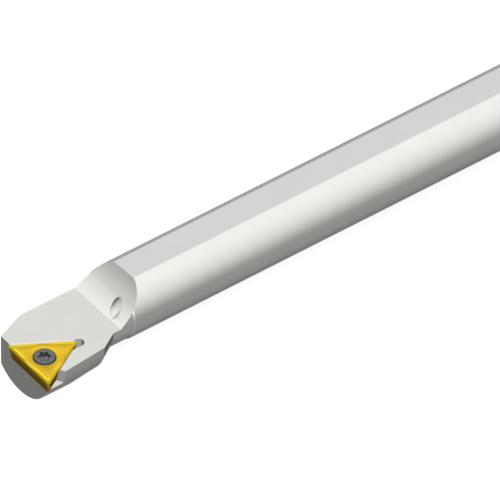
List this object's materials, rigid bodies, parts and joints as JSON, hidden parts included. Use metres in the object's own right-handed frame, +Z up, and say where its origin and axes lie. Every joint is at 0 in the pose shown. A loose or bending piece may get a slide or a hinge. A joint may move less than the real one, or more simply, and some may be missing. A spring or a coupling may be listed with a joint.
{
  "type": "boring bar",
  "caption": "Screw-clamp boring bar with a flatted round shank, an offset cutting head, a coated triangular insert and a coolant way through the bar.",
  "frame": {"origin": "centre of the shank's rear face, on the shank's axis", "axes": "+X along the bar from the rear face to the cutting end, +Y towards the side that cuts, +Z up from the rake side, so the cutting nose is at z = 0"},
  "size_m": [0.15, 0.015, 0.0126],
  "materials": {
    "bar_steel": "hardened alloy steel with a satin nickel-plated surface, light grey and slightly warm, fine machining marks",
    "insert_coating": "sintered carbide under a gold-coloured vapour-deposited hard coating, satin",
    "screw_steel": "blackened high-tensile steel, satin dark grey"
  },
  "bodies": {
    "root": {"bar": "bar_steel", "insert": "insert_coating", "clamp_screw": "screw_steel"}
  },
  "joints": []
}
